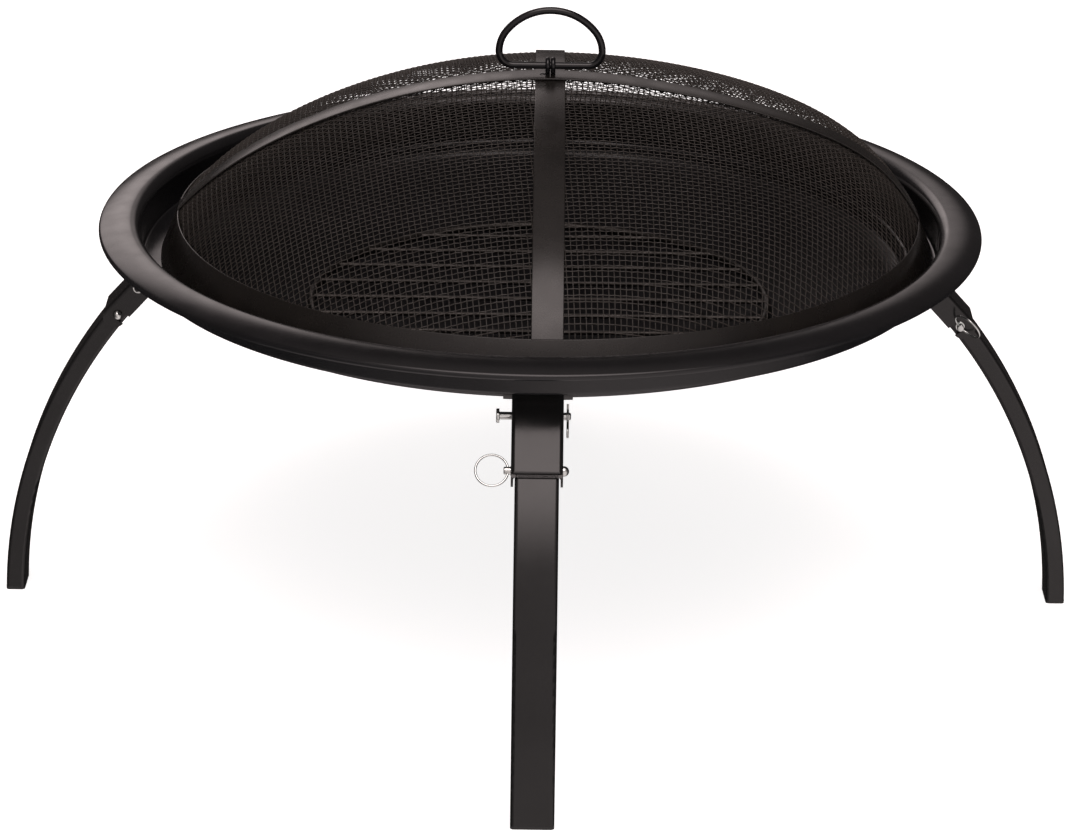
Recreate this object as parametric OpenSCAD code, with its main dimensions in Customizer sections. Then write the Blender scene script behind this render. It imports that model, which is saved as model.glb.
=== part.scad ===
// Folding fire pit: a pressed steel bowl on four fold-under legs, with a loose fire
// grate and a lift-off domed spark screen. Millimetres, +Z up, ground at Z = 0,
// origin under the middle of the bowl. Legs stand at front (-Y), right, rear and left.

/* [Bowl] */
// Outside diameter over the rolled edge of the brim
rim_d = 736; // [700:1:780]
// Height of the brim's rolled edge over the ground
rim_h = 336; // [320:1:350]
// Thickness of the bowl's sheet
bowl_sheet = 1.5; // [1:0.1:2]
// Depth from the edge plane to the underside of the floor
bowl_depth = 96; // [90:1:102]
// Width of the brim, from its rolled edge in to the riser
brim_w = 34.5; // [30:0.5:40]
// Radius of the brim's gently arched top
brim_crown = 60; // [50:5:100]
// Radius of the bend from the riser into the brim
crest_r = 9; // [7:0.5:12]
// Radius of the rolled edge
hem_r = 2.2; // [1.6:0.1:3]
// How far the rolled edge turns under, in degrees below level
hem_wrap = 150; // [60:5:180]
// Drop from the edge plane to the top of the ledge that carries the screen
ledge_drop = 26; // [22:0.5:26]
// Width of that ledge, from the riser in to the wall
ledge_w = 27; // [25:0.5:30]
// Radius of the bends on both sides of the ledge
bend_r = 3; // [2:0.5:4]
// Drop from the edge plane to the foot of the short wall under the ledge
wall_drop = 33; // [32:0.2:36]
// Radius of the corner between wall and dish
corner_r = 8; // [6:0.5:12]

/* [Legs] */
// Width of the leg tube, along the rim
leg_w = 34; // [28:0.5:40]
// Depth of the leg tube, across the rim
leg_t = 16; // [13:0.5:18]
// Wall of the leg tube
leg_wall = 1.5; // [1:0.1:2]
// Corner radius of the leg tube
leg_corner = 3; // [2:0.5:5]
// Radius that the leg is bent to, at mid-tube
leg_bend_r = 422; // [380:1:480]
// How far the foot stands out past the brim's edge, to mid-tube
foot_reach = 80.5; // [60:0.5:90]
// Pivot's distance outside the bowl's wall
pivot_out = 17; // [15:0.5:20]
// Pivot's drop below the edge plane
pivot_drop = 48; // [44:0.5:52]
// Thickness of the flange under the foot plug
foot_flange = 2.5; // [1.5:0.5:5]
// Height of the foot plug's part inside the tube
foot_insert = 14; // [8:1:25]

/* [Brackets] */
// Sheet thickness of the U brackets
bracket_sheet = 1.8; // [1.4:0.1:2.4]
// Distance from the pivot to the lock pin
lock_spacing = 45; // [38:0.5:50]
// Bracket cheeks' reach below the lock pin
cheek_tail = 13; // [11:0.5:16]
// Bracket web's reach below the lock pin
web_tail = 6; // [4:0.5:9]
// Bracket cheeks' reach behind the line of the pins
cheek_back = 8.5; // [7:0.5:11]
// Outside bend radius of the bracket's edges
bracket_bend = 3.5; // [2.6:0.1:5]
// Width of the weld tabs beside the cheeks
tab_w = 7; // [4:0.5:12]
// Reach of the weld tabs in under the dish, from the wall
tab_reach = 24; // [18:1:34]
// Fan, in degrees of the bowl, that the weld tabs are cut from
tab_fan = 60; // [30:5:90]

/* [Pins] */
// Diameter of the pivot pin
pivot_d = 6; // [5:0.5:7]
// Diameter of the pivot pin's head
pivot_head_d = 11; // [9:0.5:13]
// Thickness of the pivot pin's head
pivot_head_h = 2.5; // [1.5:0.5:4]
// Free length of the pivot pin between its head and the bracket
pivot_spare = 9.5; // [4:0.5:14]
// Length of the pivot pin past the bracket on the clip's side
pivot_tail = 5.6; // [5:0.2:9]
// Distance from the bracket to the middle of the hairpin clip
clip_out = 3.1; // [2.7:0.1:3.4]
// Wire of the hairpin clip
clip_wire = 1.8; // [1.4:0.1:2.2]
// Length of the hairpin clip's straight leg above the pin
clip_above = 6.5; // [5.5:0.5:10]
// Drop from the pin to the middle of the hairpin clip's eye
clip_below = 14.3; // [13:0.1:18]
// Outside diameter of the hairpin clip's eye
clip_eye_d = 9.5; // [8:0.5:11]
// Turn of that eye, in degrees
clip_eye_turn = 200; // [180:5:220]
// Half the angle that the sprung leg hugs the pin over
clip_grip = 50; // [40:5:60]
// Diameter of the lock pin
lock_d = 8; // [7:0.5:9]
// Length of the lock pin's domed nose past the bracket
lock_nose = 4.6; // [3:0.2:7]
// Diameter of the lock pin's neck for the pull ring
neck_d = 6; // [5.5:0.5:7]
// Length of the lock pin's neck past the bracket
neck_l = 5.6; // [5.2:0.2:8]
// Rounding of the neck's end
neck_round = 1; // [0.5:0.1:1.5]
// Length of the neck between the shank's shoulder and the cross hole
neck_shoulder = 0.4; // [0.2:0.1:1]
// Outside diameter of the pull ring
pull_ring_d = 27; // [22:0.5:32]
// Wire of the pull ring
pull_ring_wire = 1.8; // [1.4:0.1:2.2]
// Swing of the front pull ring from square, in degrees outward
lean_front = 0; // [-40:1:40]
// Swing of the right pull ring from square, in degrees outward
lean_right = 32; // [-40:1:40]
// Swing of the rear pull ring from square, in degrees outward
lean_rear = 12; // [-40:1:40]
// Swing of the left pull ring from square, in degrees outward
lean_left = -10; // [-40:1:40]

/* [Grate] */
// Outside diameter of the grate's ring
grate_d = 390; // [340:2:440]
// Wire of the grate's ring
grate_ring_wire = 6; // [5:0.5:8]
// Wire of the grate's bars
grate_wire = 4; // [3:0.5:4.5]
// Spacing of the grate's bars
grate_pitch = 40; // [30:1:48]

/* [Screen] */
// Room between the screen's ring and the bend outside its ledge
screen_play = 12; // [10:0.5:14]
// How far the screen stands to the right of the bowl's middle
screen_shift = 6.5; // [0:0.5:7]
// Height of the ring's upright skirt, from the ledge to the foot of the dome
skirt_h = 27; // [22:0.5:30]
// Rise of the screen from the ledge to the top of its under strap
screen_rise = 152.5; // [142:0.5:164]
// Width of the ring's sloping band, along the dome
band_w = 12.5; // [10:0.5:16]
// Sheet thickness of the ring band and the straps
strap_t = 1.5; // [1:0.1:2]
// Width of the straps
strap_w = 25; // [18:0.5:32]
// Thickness of the mesh
mesh_t = 1.2; // [0.8:0.1:2]
// Spacing of the net that stands for the woven mesh
mesh_pitch = 33; // [32:0.5:44]
// Width of that net's bars
mesh_bar = 4; // [3:0.5:7]
// Share of a cell that may reach past the net's rim
mesh_over = 0.2; // [0:0.05:0.4]
// Turn of the mesh about the dome's axis, in degrees
mesh_turn = 4; // [-15:1:15]

/* [Handle] */
// Wire of the lifting handle
handle_wire = 6; // [5:0.5:8]
// Width of the handle over its wire
handle_w = 91; // [80:1:105]
// Height of the handle over its wire
handle_h = 53; // [47:1:60]
// Radius of the handle's lower corners, at mid-wire
handle_corner = 12; // [9:0.5:14]
// Radius of the handle's shoulders, at mid-wire
handle_shoulder = 28; // [24:1:32]
// Wire of the two eyes that hold the handle
eye_wire = 4; // [3:0.5:5]
// Spacing of the two eyes along the handle's bar
eye_pitch = 4.5; // [4.2:0.1:7]
// Length of the eyes' prongs below the straps
eye_prong = 9; // [7:0.5:14]
// Length of the prongs' bent ends
eye_bent = 9; // [6:0.5:14]

/* [Clearances] */
// Running clearance of pins in their bores, on the radius
pin_gap = 0.05; // [0.02:0.01:0.1]
// Room between the leg and each bracket cheek
side_gap = 1.2; // [0.6:0.1:2]
// Room between the leg and the bracket's web where it stops
stop_gap = 0.5; // [0.2:0.1:1.5]
// Room round the lock pin in the brackets' slots
slot_gap = 0.3; // [0.2:0.05:0.6]
// Seam between welded or seated sheets
seam = 0.1; // [0.05:0.05:0.2]
// Gap under pieces that rest loose on another
rest_gap = 0.3; // [0.2:0.05:0.5]
// Clearance round loose wire loops
loop_gap = 0.3; // [0.2:0.05:0.5]

/* [Hidden] */
$fn = 96;
// Faceting of the large turned sheets, and of the mesh's spheres
smooth = 180;
mesh_smooth = 240;
places = ["front", "right", "rear", "left"];
angles = [-90, 0, 90, 180];
leans = [lean_front, lean_right, lean_rear, lean_left];
kinds = ["leg_bracket_", "leg_", "foot_plug_", "pivot_pin_", "hairpin_clip_", "lock_pin_", "pull_ring_"];
coat = "#26262a";
satin = "#2f2e2d";
zinc = "#c9ccd0";
// A length longer than any piece, for cuts
far = 2 * rim_d;
// How far cuts run past the faces that they open, in mm and in degrees of the leg's arc
past = 1;
past_a = 2;

// Bowl, at mid-sheet
half = bowl_sheet / 2;
riser_r = rim_d / 2 - brim_w;
wall_r = riser_r - ledge_w;
ledge_top = rim_h - ledge_drop;
ledge_z = ledge_top - half;
corner_c = [wall_r - corner_r, rim_h - wall_drop];
floor_z = rim_h - bowl_depth + half;
corner_up = corner_c[1] - floor_z;
dish_r = (pow(corner_c[0], 2) + pow(corner_up, 2) - pow(corner_r, 2)) / (2 * (corner_up - corner_r));
dish_c = [0, floor_z + dish_r];
dish_a = asin(corner_c[0] / (dish_r - corner_r));
hem_c = [rim_d / 2 - half - hem_r, rim_h];
crest_x = riser_r + crest_r;
brim_a = asin((hem_c[0] - crest_x) / (brim_crown - hem_r));
brim_c = [crest_x, rim_h - (brim_crown - hem_r) * cos(brim_a)];
crest_c = [crest_x, brim_c[1] + brim_crown - crest_r];

// Leg arc through the pivot and the foot, and the lock pin on that arc
pivot = [wall_r + pivot_out, rim_h - pivot_drop];
foot = [rim_d / 2 + foot_reach, 0];
leg_chord = foot - pivot;
leg_side = sqrt(pow(leg_bend_r, 2) - pow(norm(leg_chord) / 2, 2)) / norm(leg_chord);
arc_c = (pivot + foot) / 2 + leg_side * [leg_chord[1], -leg_chord[0]];
pivot_a = atan2(pivot[1] - arc_c[1], pivot[0] - arc_c[0]);
foot_a = atan2(foot[1] - arc_c[1], foot[0] - arc_c[0]);
lock_step = 2 * asin(lock_spacing / 2 / leg_bend_r);
bracket_tilt = pivot_a - lock_step / 2;

// Bracket section, measured outward from the line of the two pins
web_in = leg_t / 2 + leg_bend_r * (1 - cos(lock_step / 2)) + stop_gap;
web_out = web_in + bracket_sheet;
inside_w = leg_w + 2 * side_gap;
cheek_out = inside_w / 2 + bracket_sheet;
cheek_half = (cheek_back + web_out) / 2;
cheek_end = lock_spacing + cheek_tail - cheek_half;
tab_a = asin((wall_r - tab_reach) / dish_r);
tab_top = (corner_c[1] + ledge_z - bend_r) / 2;
// Turn past which the lock pin is out of the bracket's slot
slot_turn = asin((cheek_back + lock_d) / lock_spacing);

// Pins and rings, along the leg's own width
clip_y = cheek_out + clip_out;
pull_r = (pull_ring_d - pull_ring_wire) / 2;
// Hole in the neck, wide enough for the curved wire to swing in
pull_bow = pow(neck_d / 2, 2) / (2 * pull_r);
pull_hole_d = pull_ring_wire + 2 * pull_bow + loop_gap;
pull_y = cheek_out + rest_gap + neck_shoulder + pull_hole_d / 2;

// Spark screen: its band, straps and mesh are shells about one dome centre
screen_foot = ledge_top + rest_gap;
dome_foot = screen_foot + skirt_h;
screen_r = riser_r - bend_r - screen_play;
band_in = sqrt(pow(screen_r, 2) + pow(dome_foot - dome_z(), 2)) - strap_t;
mesh_r = band_in - seam;
band_top = dome_z() + (band_in + strap_t) * sin(band_a() + 180 / PI * band_w / band_in);
strap_reach = sqrt(pow(band_in, 2) - pow(band_top - dome_z(), 2));
// The over strap is raised so that its curve clears the under strap's edges
cross_in = dome_z() + band_in + strap_t + seam + pow(strap_w, 2) / (8 * band_in);
cross_r = arch_radius(strap_reach, cross_in - band_top);
cross_z = cross_in - cross_r;
strap_top = cross_z + cross_r + strap_t;

// Handle and its eyes, at mid-wire
eye_r = handle_wire / 2 + eye_wire / 2 + loop_gap;
bar_z = strap_top + eye_r + eye_wire / 2 + seam;
side_x = (handle_w - handle_wire) / 2;
side_z = bar_z + handle_corner;
arch_h = handle_h - handle_wire - handle_corner;
shoulder_x = side_x - handle_shoulder;
crown_r = (pow(shoulder_x, 2) + pow(arch_h, 2) - pow(handle_shoulder, 2)) / (2 * (arch_h - handle_shoulder));
crown_z = side_z + arch_h - crown_r;
shoulder_a = atan2(side_z - crown_z, shoulder_x);

// Grate ring, resting on the dish
grate_r = (grate_d - grate_ring_wire) / 2;
grate_sit = dish_r - half - grate_ring_wire / 2 - rest_gap;
grate_z = dish_c[1] - sqrt(pow(grate_sit, 2) - pow(grate_r, 2));
grate_side = floor((grate_r - grate_pitch / 2) / grate_pitch);

// Points of a plane arc, from one angle to another in n steps, less the first skip
function arc(c, r, from, to, n, skip = 0) =
    [for (k = [skip:n]) let (a = from + (to - from) * k / n) c + r * [cos(a), sin(a)]];

function reversed(list) = [for (k = [len(list) - 1:-1:0]) list[k]];

// Radius of the arch with half-span s and rise h
function arch_radius(s, h) = (s * s + h * h) / (2 * h);

// Height of the dome's centre, from the skirt's top and the rise of the screen
function dome_z() =
    ledge_top + screen_rise - arch_radius(screen_r, screen_rise - rest_gap - skirt_h);

// Angle above level of the skirt's top, seen from the dome's centre
function band_a() = atan2(dome_foot - dome_z(), screen_r);

// Line of the ring's section, d inside its outer face: up the skirt, then along the dome
function ring_line(d) = concat(
    [[screen_r - d, screen_foot]],
    arc([0, dome_z()], band_in + strap_t - d, acos((screen_r - d) / (band_in + strap_t - d)),
        asin((band_top - dome_z()) / (band_in + strap_t - d)), 6));

// Line of the bowl's section, d inside mid-sheet, from the middle out to the rolled edge
function bowl_line(d) = concat(
    arc(dish_c, dish_r - d, -90, dish_a - 90, 20),
    arc(corner_c, corner_r - d, dish_a - 90, 0, 6, 1),
    arc([wall_r + bend_r, ledge_z - bend_r], bend_r + d, 180, 90, 4),
    arc([riser_r - bend_r, ledge_z + bend_r], bend_r - d, -90, 0, 4),
    arc(crest_c, crest_r + d, 180, 90, 6),
    arc(brim_c, brim_crown + d, 90, 90 - brim_a, 6, 1),
    arc(hem_c, hem_r + d, 90 - brim_a, -hem_wrap, 10, 1));

// Line under the dish, round the corner and up the short wall, d outside mid-sheet
function skin_line(d, from, top) = concat(
    arc(dish_c, dish_r + d, from - 90, dish_a - 90, 8),
    arc(corner_c, corner_r + d, dish_a - 90, 0, 6, 1),
    [[wall_r + d, top]]);

module rounded_bar(w, h, r) {
    square([w - 2 * r, h], center = true);
    square([w, h - 2 * r], center = true);
    for (x = [-1, 1], y = [-1, 1]) translate([x * (w / 2 - r), y * (h / 2 - r)]) circle(r);
}

// Channel section, open to -x, with its web's face at x = depth and round outer edges
module channel_section(back, depth, w, r) {
    translate([-back, -w / 2]) square([back + depth - r, w]);
    translate([-back, r - w / 2]) square([back + depth, w - 2 * r]);
    for (y = [-1, 1]) translate([depth - r, y * (w / 2 - r)]) circle(r);
}

// A cylinder along the leg's width, from y0 to y1
module across(d, y0, y1) {
    translate([0, y0, 0]) rotate([-90, 0, 0]) cylinder(d = d, h = y1 - y0);
}

// Places a leg's pieces, drawn for the leg on +X, at one of the four stations
module station(i) {
    rotate([0, 0, angles[i]]) children();
}

// Frame at the pivot: x square to the bracket and outward, y along the rim, z up the bracket
module at_pivot() {
    translate([pivot[0], 0, pivot[1]]) rotate([0, -bracket_tilt, 0]) children();
}

// A stretch of bent bar along the leg's arc
module leg_stretch(from, to, t, w, r) {
    translate([arc_c[0], 0, arc_c[1]]) rotate([90, 0, 0]) rotate([0, 0, from])
        rotate_extrude(angle = to - from) translate([leg_bend_r, 0]) rounded_bar(t, w, r);
}

module torus(r, wire) {
    rotate_extrude() translate([r, 0]) circle(d = wire, $fn = 48);
}

// A round wire swept along a plane path of [x, z] points, in the plane y = 0
module plane_wire(path, d, sides = 8, closed = false) {
    n = len(path);
    before = function (k) closed ? (k + n - 1) % n : max(k - 1, 0);
    after = function (k) closed ? (k + 1) % n : min(k + 1, n - 1);
    rings = [for (k = [0:n - 1])
        let (step = path[after(k)] - path[before(k)], across = [step[1], -step[0]] / norm(step))
        for (j = [0:sides - 1]) let (a = 360 * j / sides, p = path[k] + d / 2 * cos(a) * across)
            [p[0], d / 2 * sin(a), p[1]]];
    walls = [for (k = [0:closed ? n - 1 : n - 2], j = [0:sides - 1])
        let (i = (j + 1) % sides, here = k * sides, there = after(k) * sides)
            [here + j, there + j, there + i, here + i]];
    ends = [[for (j = [0:sides - 1]) j], [for (j = [sides - 1:-1:0]) (n - 1) * sides + j]];
    polyhedron(points = rings, faces = closed ? walls : concat(walls, ends));
}

// One pressed sheet: dish, wall, ledge, riser, arched brim and rolled edge
module fire_bowl() {
    color(coat) rotate_extrude($fn = smooth) polygon(concat(bowl_line(half), reversed(bowl_line(-half))));
}

// Everything inside the bowl's outer skin, for cutting what is welded on to it
module bowl_inside() {
    d = half + seam;
    rotate_extrude() polygon(concat(
        skin_line(d, 0, ledge_z - bend_r),
        [[wall_r + bend_r, ledge_z - d], [riser_r + d, ledge_z - d], [riser_r + d, rim_h], [0, rim_h]]));
}

// Two weld tabs that follow the dish and the wall, each from the middle of its cheek out
module weld_tabs() {
    between = inside_w + bracket_sheet;
    difference() {
        rotate([0, 0, -tab_fan / 2]) rotate_extrude(angle = tab_fan) polygon(concat(
            skin_line(half + seam, tab_a, tab_top),
            reversed(skin_line(half + seam + bracket_sheet, tab_a, tab_top))));
        for (s = [-1, 1]) translate([0, s * (far / 2 + cheek_out + tab_w), 0]) cube(far, center = true);
        translate([0, -between / 2, 0]) cube([far, between, rim_h]);
    }
}

// The bracket's cheeks seen from the side
module cheek_outline() {
    translate([-cheek_back, -cheek_end]) square([2 * cheek_half, cheek_end + pivot_drop]);
    translate([cheek_half - cheek_back, -cheek_end]) circle(cheek_half);
}

// Slot through both cheeks: a round seat for the lock pin, open to the back round the pivot
module lock_slot() {
    slot_w = lock_d + 2 * slot_gap;
    translate([0, 0, -lock_spacing]) across(slot_w, -cheek_out - past, cheek_out + past);
    rotate([90, 0, 0]) rotate([0, 0, -90 - slot_turn]) rotate_extrude(angle = slot_turn)
        translate([lock_spacing - slot_w / 2, -cheek_out - past]) square([slot_w, 2 * (cheek_out + past)]);
}

// U bracket: two cheeks and a web round the leg's top, welded under the bowl by its tabs
module leg_bracket(i) {
    color(satin) station(i) difference() {
        union() {
            difference() {
                at_pivot() intersection() {
                    translate([0, 0, -far / 2]) linear_extrude(far) difference() {
                        channel_section(cheek_back, web_out, 2 * cheek_out, bracket_bend);
                        channel_section(cheek_back + past, web_in, inside_w, bracket_bend - bracket_sheet);
                    }
                    rotate([90, 0, 0]) linear_extrude(2 * cheek_out, center = true) cheek_outline();
                }
                bowl_inside();
            }
            weld_tabs();
        }
        at_pivot() {
            across(pivot_d + 2 * pin_gap, -cheek_out - past, cheek_out + past);
            lock_slot();
            translate([web_in, -far / 2, -far - lock_spacing - web_tail]) cube(far);
        }
    }
}

// Bent rectangular tube, rounded at the pivot, cut level at the foot
module leg(i) {
    color(satin) station(i) difference() {
        intersection() {
            difference() {
                leg_stretch(foot_a - past_a, pivot_a + past_a, leg_t, leg_w, leg_corner);
                leg_stretch(foot_a - 2 * past_a, pivot_a + 2 * past_a, leg_t - 2 * leg_wall,
                    leg_w - 2 * leg_wall, leg_corner - leg_wall);
            }
            translate([pivot[0], 0, pivot[1]]) rotate([0, -pivot_a, 0]) union() {
                across(leg_t, -leg_w, leg_w);
                translate([-far / 2, -leg_w, -far]) cube([far, 2 * leg_w, far]);
            }
        }
        translate([0, -leg_w, foot_flange - far]) cube(far);
        at_pivot() {
            across(pivot_d + 2 * pin_gap, -leg_w, leg_w);
            translate([0, 0, -lock_spacing]) across(lock_d + 2 * pin_gap, -leg_w, leg_w);
        }
    }
}

// Moulded plug: a flange under the tube and a body pressed into it
module foot_plug(i) {
    bore_t = leg_t - 2 * leg_wall - 2 * seam;
    bore_w = leg_w - 2 * leg_wall - 2 * seam;
    color("#1c1c1d") station(i) {
        translate([foot[0], 0, 0]) linear_extrude(foot_flange) rounded_bar(leg_t, leg_w, leg_corner);
        intersection() {
            leg_stretch(foot_a - past_a, pivot_a, bore_t, bore_w, leg_corner - leg_wall);
            translate([0, -leg_w, foot_flange / 2]) cube([far, 2 * leg_w, foot_flange / 2 + foot_insert]);
        }
    }
}

// Clevis pin: flat head on one side, cross hole for the hairpin clip on the other
module pivot_pin(i) {
    color(zinc) station(i) at_pivot() difference() {
        union() {
            head_y = -cheek_out - pivot_spare;
            across(pivot_d, head_y - pivot_head_h / 2, cheek_out + pivot_tail);
            across(pivot_head_d, head_y - pivot_head_h, head_y);
        }
        translate([0, clip_y, -pivot_d]) cylinder(d = clip_wire + loop_gap, h = 2 * pivot_d);
    }
}

// Hairpin clip: straight leg through the pin, a round eye below, a sprung leg round the pin
module hairpin_clip(i) {
    eye = (clip_eye_d - clip_wire) / 2;
    hug = pivot_d / 2 + clip_wire / 2 + loop_gap;
    pinch = clip_wire + loop_gap;
    path = concat(
        [[0, clip_above], [0, 0], [0, 2 * eye - clip_below]],
        arc([eye, -clip_below], eye, 180, 180 + clip_eye_turn, 14),
        [[pinch, -hug - clip_wire / 2]],
        arc([0, 0], hug, -clip_grip, clip_grip, 8),
        [[pinch, hug + clip_wire / 3], [hug, clip_above + hug / 2]]);
    color(zinc) station(i) at_pivot() translate([0, clip_y, 0]) plane_wire(path, clip_wire);
}

// Lock pin: domed nose, shank through bracket and leg, neck with a cross hole for its ring
module lock_pin(i) {
    shank = cheek_out + rest_gap;
    dome = lock_nose - rest_gap;
    dome_r = arch_radius(lock_d / 2, dome);
    dome_a = asin(lock_d / 2 / dome_r);
    profile = concat(
        [[0, -cheek_out - neck_l], [neck_d / 2 - neck_round, -cheek_out - neck_l]],
        arc([neck_d / 2 - neck_round, neck_round - cheek_out - neck_l], neck_round, -90, 0, 3, 1),
        [[neck_d / 2, -shank], [lock_d / 2, -shank]],
        arc([0, shank + dome - dome_r], dome_r, 90 - dome_a, 90, 6));
    color(zinc) station(i) at_pivot() translate([0, 0, -lock_spacing]) difference() {
        rotate([-90, 0, 0]) rotate_extrude() polygon(profile);
        translate([0, -pull_y, -neck_d]) cylinder(d = pull_hole_d, h = 2 * neck_d);
    }
}

// Round wire ring through the lock pin's neck
module pull_ring(i) {
    color(zinc) station(i) at_pivot() translate([0, -pull_y, -lock_spacing])
        rotate([0, 0, leans[i]]) translate([0, -pull_r, 0]) rotate([0, 90, 0]) torus(pull_r, pull_ring_wire);
}

// Wire ring with parallel bars let into it, lying loose in the dish
module fire_grate() {
    color("#b9b7b2") translate([0, 0, grate_z]) {
        torus(grate_r, grate_ring_wire);
        for (k = [-grate_side:grate_side]) {
            reach = sqrt(pow(grate_r, 2) - pow(k * grate_pitch, 2));
            translate([-reach, k * grate_pitch, 0]) rotate([0, 90, 0]) cylinder(d = grate_wire, h = 2 * reach);
        }
    }
}

// Ring that the screen stands on: an upright skirt under a band that slopes with the dome
module screen_ring() {
    color(satin) translate([screen_shift, 0, 0]) rotate_extrude($fn = smooth)
        polygon(concat(ring_line(0), reversed(ring_line(strap_t))));
}

// Flat strap bent to an arch about z, cut level where it meets the ring
module strap(r, z) {
    difference() {
        translate([0, 0, z]) rotate([90, 0, 0]) rotate_extrude(angle = 180, $fn = smooth)
            translate([r, -strap_w / 2]) square([strap_t, strap_w]);
        translate([0, 0, band_top + seam - far / 2]) cube(far, center = true);
    }
}

// Holes for the prongs of the eyes
module eye_holes() {
    for (s = [-1, 1]) translate([s * eye_pitch / 2, 0, 0]) cylinder(d = eye_wire + 2 * seam, h = far);
}

module strap_front_back() {
    color(satin) translate([screen_shift, 0, 0]) difference() {
        rotate([0, 0, 90]) strap(band_in, dome_z());
        eye_holes();
    }
}

module strap_left_right() {
    color("#4a4742") translate([screen_shift, 0, 0]) difference() {
        strap(cross_r, cross_z);
        eye_holes();
    }
}

// One domed net, tucked under the ring and the straps
module spark_mesh() {
    reach = floor(screen_r / mesh_pitch);
    rim = screen_r - band_w;
    color("#3a3a3a") translate([screen_shift, 0, 0]) difference() {
        intersection() {
            translate([0, 0, dome_z()]) rotate([90, 0, 0]) difference() {
                sphere(mesh_r, $fn = mesh_smooth);
                sphere(mesh_r - mesh_t, $fn = mesh_smooth);
            }
            translate([0, 0, dome_foot + seam]) linear_extrude(far) difference() {
                circle(screen_r);
                intersection() {
                    circle(rim);
                    rotate([0, 0, mesh_turn]) for (x = [-reach:reach], y = [-reach:reach])
                        if ((norm([x, y] + [0.5, 0.5]) - mesh_over) * mesh_pitch < rim)
                            translate([x, y] * mesh_pitch + [1, 1] * mesh_bar / 2)
                                square(mesh_pitch - mesh_bar);
                }
            }
        }
        eye_holes();
    }
}

// Two split wire eyes round the handle's bar, their prongs bent apart under the mesh
module handle_eyes() {
    low = strap_top - eye_prong;
    color("#1d1d1f") for (s = [-1, 1]) translate([screen_shift + s * eye_pitch / 2, 0, 0]) {
        translate([0, 0, bar_z]) rotate([0, 90, 0]) torus(eye_r, eye_wire);
        translate([0, 0, low]) cylinder(d = eye_wire, h = bar_z - eye_r - low);
        translate([0, 0, low]) sphere(d = eye_wire);
        translate([0, 0, low]) rotate([0, s * 90, 0]) cylinder(d = eye_wire, h = eye_bent);
    }
}

// D of round wire: a straight bar in the eyes, round corners and an arched grip
module lift_handle() {
    bar = side_x - handle_corner;
    straight = bar - handle_wire / 6;
    loop = concat(
        [[straight, bar_z]],
        arc([bar, side_z], handle_corner, -90, 0, 8),
        arc([shoulder_x, side_z], handle_shoulder, 0, shoulder_a, 6, 1),
        arc([0, crown_z], crown_r, shoulder_a, 180 - shoulder_a, 12, 1),
        arc([-shoulder_x, side_z], handle_shoulder, 180 - shoulder_a, 180, 6, 1),
        arc([-bar, side_z], handle_corner, 180, 270, 8, 1),
        [[-straight, bar_z]]);
    color("#151517") translate([screen_shift, 0, 0]) plane_wire(loop, handle_wire, 16, true);
}

fire_bowl();
fire_grate();
screen_ring();
strap_front_back();
strap_left_right();
spark_mesh();
handle_eyes();
lift_handle();
for (i = [0:3]) {
    leg_bracket(i);
    leg(i);
    foot_plug(i);
    pivot_pin(i);
    hairpin_clip(i);
    lock_pin(i);
    pull_ring(i);
}
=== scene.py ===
# %% [markdown]
# # A folding fire pit in a white studio
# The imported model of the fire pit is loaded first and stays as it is: it says where every piece sits
# and how it moves. This lesson then dresses it. Each rough solid is exchanged for a finer surface
# worked out with numpy, or keeps its shape and gets a better finish.

# %% Load the frame
import math

import bmesh
import bpy
import numpy as np
from mathutils import Matrix


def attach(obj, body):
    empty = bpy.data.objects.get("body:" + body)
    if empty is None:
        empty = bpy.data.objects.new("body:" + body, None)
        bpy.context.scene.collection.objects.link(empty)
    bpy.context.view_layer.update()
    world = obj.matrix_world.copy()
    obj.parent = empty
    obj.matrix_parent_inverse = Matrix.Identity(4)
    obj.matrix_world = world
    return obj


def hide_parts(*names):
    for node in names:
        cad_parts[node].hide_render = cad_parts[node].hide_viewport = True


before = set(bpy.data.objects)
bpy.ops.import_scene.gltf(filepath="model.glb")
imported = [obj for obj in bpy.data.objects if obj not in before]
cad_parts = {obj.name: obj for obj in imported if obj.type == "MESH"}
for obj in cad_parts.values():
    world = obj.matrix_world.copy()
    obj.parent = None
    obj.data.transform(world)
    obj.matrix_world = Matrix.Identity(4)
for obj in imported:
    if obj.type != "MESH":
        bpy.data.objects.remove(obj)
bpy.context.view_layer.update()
MM = 0.001
PLACES = {"front": -90, "right": 0, "rear": 90, "left": 180}

# %% [markdown]
# ## The camera
# The photograph was taken with a long lens from a little above, looking straight at the front leg.
# The brim's ellipse gives the angle down, and the way the brim, the feet and the dome shrink with
# distance gives how far away the camera stood. A tiny roll shares out the lean of the real bowl, which
# stands level here. Distances are in metres, turns in degrees, film and lens in millimetres.

# %% Camera
camera_height = 1.467
camera_back = 3.3176
camera_down = 21.54
camera_right = 0.034
camera_roll = 0.8
film_width = 36
lens_length = 139.4
camera_data = bpy.data.cameras.new("studio_camera")
camera_data.sensor_width = film_width
camera_data.lens = lens_length
camera = bpy.data.objects.new("studio_camera", camera_data)
camera.matrix_world = (
    Matrix.Translation((0, -camera_back, camera_height))
    @ Matrix.Rotation(math.radians(-camera_right), 4, "Z")
    @ Matrix.Rotation(math.radians(90 - camera_down), 4, "X")
    @ Matrix.Rotation(math.radians(camera_roll), 4, "Z")
)
bpy.context.scene.collection.objects.link(camera)
bpy.context.scene.camera = camera
print("camera", camera_back, "m back,", camera_down, "degrees down")

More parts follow.
